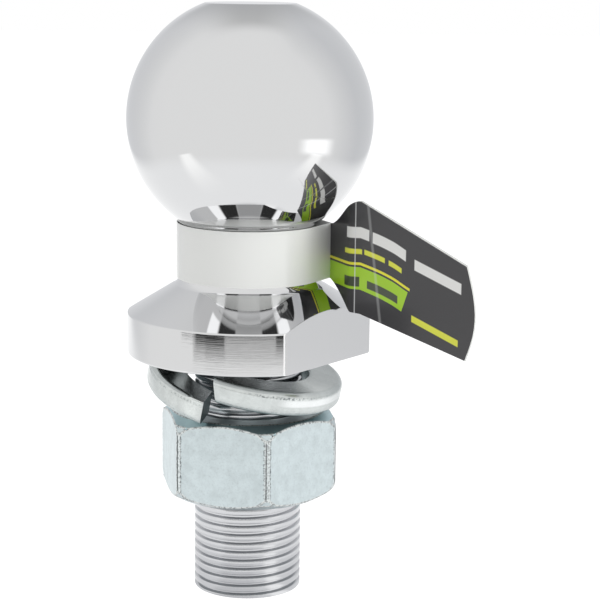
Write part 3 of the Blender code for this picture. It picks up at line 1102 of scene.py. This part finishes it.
def studio_world():
    world = bpy.data.worlds.new("studio")
    bpy.context.scene.world = world
    world.use_nodes = True
    s = Shading(world.node_tree)
    x, y, z = s.parts(s.node("ShaderNodeTexCoord").outputs["Generated"])
    path = s.node("ShaderNodeLightPath").outputs
    tent = tent_tone(s, x, y)
    # greyer high up behind the object
    gap = s.product(
        s.span(y, -0.02, 0.30),
        s.span(z, 0.2, 0.5),
        s.span(s.size(x), 0.05, 0.52, 1, 0),
    )
    tent = s.mix(s.product(gap, 0.31), tent, (0, 0, 0))
    # low down, what only second mirrorings show
    deep = s.over(path["Glossy Depth"], 1.5)
    low = s.product(deep, s.span(z, 0.50, 0.58, 1, 0))
    for mask, grey in (
        (sector(s, x, y, -21, 21), 0.62),
        (room(s, x, y), 0.05),
        (lamps(s, x, y), 2.0),
    ):
        tent = s.mix(s.product(low, mask), tent, (grey, grey, grey))
    mirrored = world.node_tree.nodes["Background"]
    mirrored = s.fill(mirrored, {"Color": s.mix(path["Is Camera Ray"], tent, (1, 1, 1))})[0]
    soft = s.fill(s.node("ShaderNodeBackground"), {"Color": (1, 1, 1), "Strength": 0.81})[0]
    both = s.choose(path["Is Diffuse Ray"], mirrored, soft)
    s.put(both, world.node_tree.nodes["World Output"].inputs["Surface"])


def streak(s, x, y, start, end, width):
    """Soft bright mark that one lamp leaves on the paper, between two places."""
    start, end = Vector(start), Vector(end)
    length = (end - start).length
    along = (end - start) / length
    x, y = s.less(x, start.x), s.less(y, start.y)
    run = s.add(s.product(x, along.x), s.product(y, along.y))
    aside = s.less(s.product(x, along.y), s.product(y, along.x))
    return s.product(
        s.span(s.size(aside), width * 0.2, width, 1, 0),
        s.band(run, (-0.006, 0.006), (length * 0.25, length)),
    )


def studio_floor():
    """White paper, low enough to leave room for the nut when it is screwed off the shank."""
    bpy.ops.mesh.primitive_plane_add(size=6, location=(0, 0, FLOOR_HEIGHT))
    floor = settle("studio_floor")
    made, s, shader = new_material("paper floor", (0.62,) * 3, 0.9, 0.0)
    s.put(0.0, shader.inputs["Specular IOR Level"])
    floor.data.materials.append(made)
    plain = shader.outputs[0]
    lit = s.fill(s.node("ShaderNodeAddShader"), {0: plain, 1: s.glow((1, 1, 1), 0.55)})[0]
    # a camera below it looks up through the paper
    clear = s.node("ShaderNodeBsdfTransparent").outputs[0]
    seen = s.choose(s.node("ShaderNodeNewGeometry").outputs["Backfacing"], lit, clear)
    both = s.choose(s.node("ShaderNodeLightPath").outputs["Is Camera Ray"], plain, seen)
    s.put(both, made.node_tree.nodes["Material Output"].inputs["Surface"])
    hide(floor, "glossy")


def mirrored_paper():
    """The lit paper as the bright metal mirrors it, unseen by the camera itself."""
    bpy.ops.mesh.primitive_plane_add(size=6, location=(0, 0, -0.0001))
    floor = settle("mirrored_paper")
    s, surface = stage_material("mirrored paper", floor)
    x, y = s.parts(s.place())[:2]
    reach = s.reach(x, y)
    # beyond the sheet of paper the floor mirrors like the tent above it
    above = 0.0096
    far = s.math("SQRT", s.add(s.product(reach, reach), above))
    beyond = tent_tone(s, s.math("DIVIDE", x, far), s.math("DIVIDE", y, far))
    middle = 0.031
    arc = s.reach(x, s.less(y, middle))
    edge = s.mix(s.over(y, middle), arc, s.size(x))
    sheet = s.mix(s.span(x, -0.06, 0.16), (1.13, 1.135, 1.14), (1.11, 1.115, 1.125))
    paper = s.mix(s.span(edge, 0.150, 0.236), sheet, beyond)
    bright = s.most(
        streak(s, x, y, (-0.196, -0.100), (-0.030, -0.050), 0.036),
        streak(s, x, y, (0.208, -0.095), (0.050, -0.056), 0.036),
    )
    paper = s.mix(bright, paper, (1.38, 1.38, 1.37))
    # a bright patch near the right lamp
    aside = s.product(
        sector(s, x, y, 50, 78, 8), s.span(reach, 0.20, 0.26), s.span(reach, 0.38, 0.50, 0.5, 0)
    )
    paper = s.mix(aside, paper, (2.2, 2.2, 2.2))
    # close by, the paper lies in the object's own shade, with one bright bar to the right
    near = s.mix(sector(s, x, y, -45, 12, 8), (0.92, 0.925, 0.94), (0.78, 0.785, 0.80))
    near = s.mix(sector(s, x, y, 30, 54, 5), near, (1.28, 1.28, 1.28))
    paper = s.mix(s.span(reach, 0.034, 0.042, 1, 0), paper, near)
    # what only second mirrorings show: deeper shade, the dark room and the lamps
    dark = s.ramp(reach, (0.20, 0.0), (0.24, 0.5), (0.30, 0.30), (0.42, 0.50), (0.52, 0.97))
    grey = s.ramp(reach, (0.15, 0.08), (0.19, 0.25), (0.23, 0.05), (0.29, 0.42), (0.60, 0.32))
    deep = s.over(s.node("ShaderNodeLightPath").outputs["Glossy Depth"], 1.5)
    for mask, tone in (
        (s.span(reach, 0.012, 0.050, 0.70, 0), (0.42, 0.46, 0.47)),
        (s.product(dark, room(s, x, y)), (0.03, 0.03, 0.03)),
        (s.product(grey, sector(s, x, y, -22, 22)), (0, 0, 0)),
        (s.product(lamps(s, x, y), s.span(reach, 0.45, 0.60)), (2.0, 2.0, 2.0)),
    ):
        paper = s.mix(s.product(mask, deep), paper, tone)
    s.put(s.glow(paper), surface)
    hide(floor, "camera", "diffuse", "shadow")


def dark_screen():
    """A low sloping ring in front, black only from below: the flange's wall mirrors it."""
    inner, outer, rise = 0.165, 0.255, 0.0315
    bpy.ops.mesh.primitive_cone_add(
        vertices=96,
        radius1=outer,
        radius2=inner,
        depth=rise,
        end_fill_type="NOTHING",
        location=(0, 0, rise / 2 + 0.0002),
    )
    screen = settle("dark_screen")
    edit(screen, "FACE")
    pick(screen, lambda face: face.center.y > -abs(face.center.x) * 0.4, "FACE")
    bpy.ops.mesh.delete(type="FACE")
    leave()
    s, surface = stage_material("dark screen", screen)
    x, y = s.parts(s.place())[:2]
    reach = s.reach(x, y)
    # each patch spans some bearings, and thins out in one or two steps with the distance
    dark = None
    for start, end, steps in (
        (-61, 40, ((0.184, 0.189, 1),)),
        (-48, -34, ((0.203, 0.210, 1),)),
        (-39, -20.5, ((0.203, 0.213, 0.45), (0.244, 0.260, 0.55))),
        (23.5, 40, ((0.203, 0.213, 0.85), (0.230, 0.250, 0.3))),
    ):
        depth = s.span(reach, *steps[0], 0)
        for step in steps[1:]:
            depth = s.add(depth, s.span(reach, *step, 0))
        patch = s.product(sector(s, x, y, start, end), depth)
        dark = s.most(dark, patch) if dark else patch
    grey = s.product(sector(s, x, y, -50, 40), s.span(reach, 0.246, 0.255, 0.6, 0))
    shown = s.product(
        s.most(dark, grey),
        s.node("ShaderNodeNewGeometry").outputs["Backfacing"],
        s.node("ShaderNodeLightPath").outputs["Is Glossy Ray"],
    )
    tone = s.glow(s.mix(dark, (0.40, 0.40, 0.395), (0.02, 0.02, 0.02)))
    clear = s.node("ShaderNodeBsdfTransparent").outputs[0]
    s.put(s.choose(shown, clear, tone), surface)
    hide(screen, "camera", "diffuse", "shadow")


def studio_lamps():
    for name, place, power in (
        ("key_lamp", (-0.55, -0.55, 0.75), 1.2),
        ("fill_lamp", (0.72, -0.36, 0.40), 3.6),
    ):
        lamp = bpy.data.lights.new(name, "AREA")
        lamp.size = 0.5
        lamp.energy = power
        lamp.specular_factor = 0.0
        stand = bpy.data.objects.new(name, lamp)
        bpy.context.scene.collection.objects.link(stand)
        stand.location = place
        aim = Vector((0, 0, 0.06)) - Vector(place)
        stand.rotation_euler = aim.to_track_quat("-Z", "Y").to_euler()
        hide(stand, "glossy")


def place_camera():
    lens = bpy.data.cameras.new("photo_camera")
    camera = bpy.data.objects.new("photo_camera", lens)
    bpy.context.scene.collection.objects.link(camera)
    yaw, pitch, roll = (math.radians(angle) for angle in CAMERA_TURN)
    level = Vector((math.cos(yaw), -math.sin(yaw), 0))
    ahead = math.cos(pitch) * Vector((math.sin(yaw), math.cos(yaw), -math.tan(pitch)))
    upright = level.cross(ahead)
    right = math.cos(roll) * level + math.sin(roll) * upright
    above = -math.sin(roll) * level + math.cos(roll) * upright
    turn = Matrix((right, above, -ahead)).transposed().to_4x4()
    camera.matrix_world = Matrix.Translation(CAMERA_PLACE) @ turn
    lens.sensor_width = 36
    lens.lens = FOCAL_LENGTH / FRAME_WIDTH * lens.sensor_width
    lens.clip_start = 0.01
    lens.clip_end = 20
    bpy.context.scene.camera = camera


def main():
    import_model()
    clear_selection()
    bpy.context.scene.view_settings.view_transform = "Standard"
    place_camera()

    forging = make_forging()
    cut_shank(forging)
    forging.data.materials.clear()
    forging.data.materials.append(chrome_plate())
    finish_piece(forging, "tow_ball", "ball")

    mottle = mottle_group()
    specks = speck_group()
    washer = make_washer(
        zinc_plate("bright zinc", (0.60, 0.63, 0.62), 0.25, 300, 0.16, wire_marks, mottle, specks),
        # bare steel, with painted shade: the washer's sawn ends, in the split, take a dark teal tone
        bare_edge("sheared steel in painted shade", (0.20, 0.26, 0.27), 0.38, 0.1, specks),
    )
    finish_piece(washer, "spring_washer", "washer", 35)

    nut = make_nut(
        zinc_plate("blue zinc", (0.585, 0.655, 0.67), 0.36, 420, 0.26, nut_marks, mottle, specks),
        bare_edge("worn zinc edge", (0.70, 0.73, 0.72), 0.40, 0.4, specks),
    )
    finish_piece(nut, "hex_nut", "nut", 25, 50)

    label = make_label()
    finish_piece(label, "neck_label", "ball", 40)

    studio_world()
    studio_floor()
    mirrored_paper()
    dark_screen()
    studio_lamps()
    clear_selection()


main()
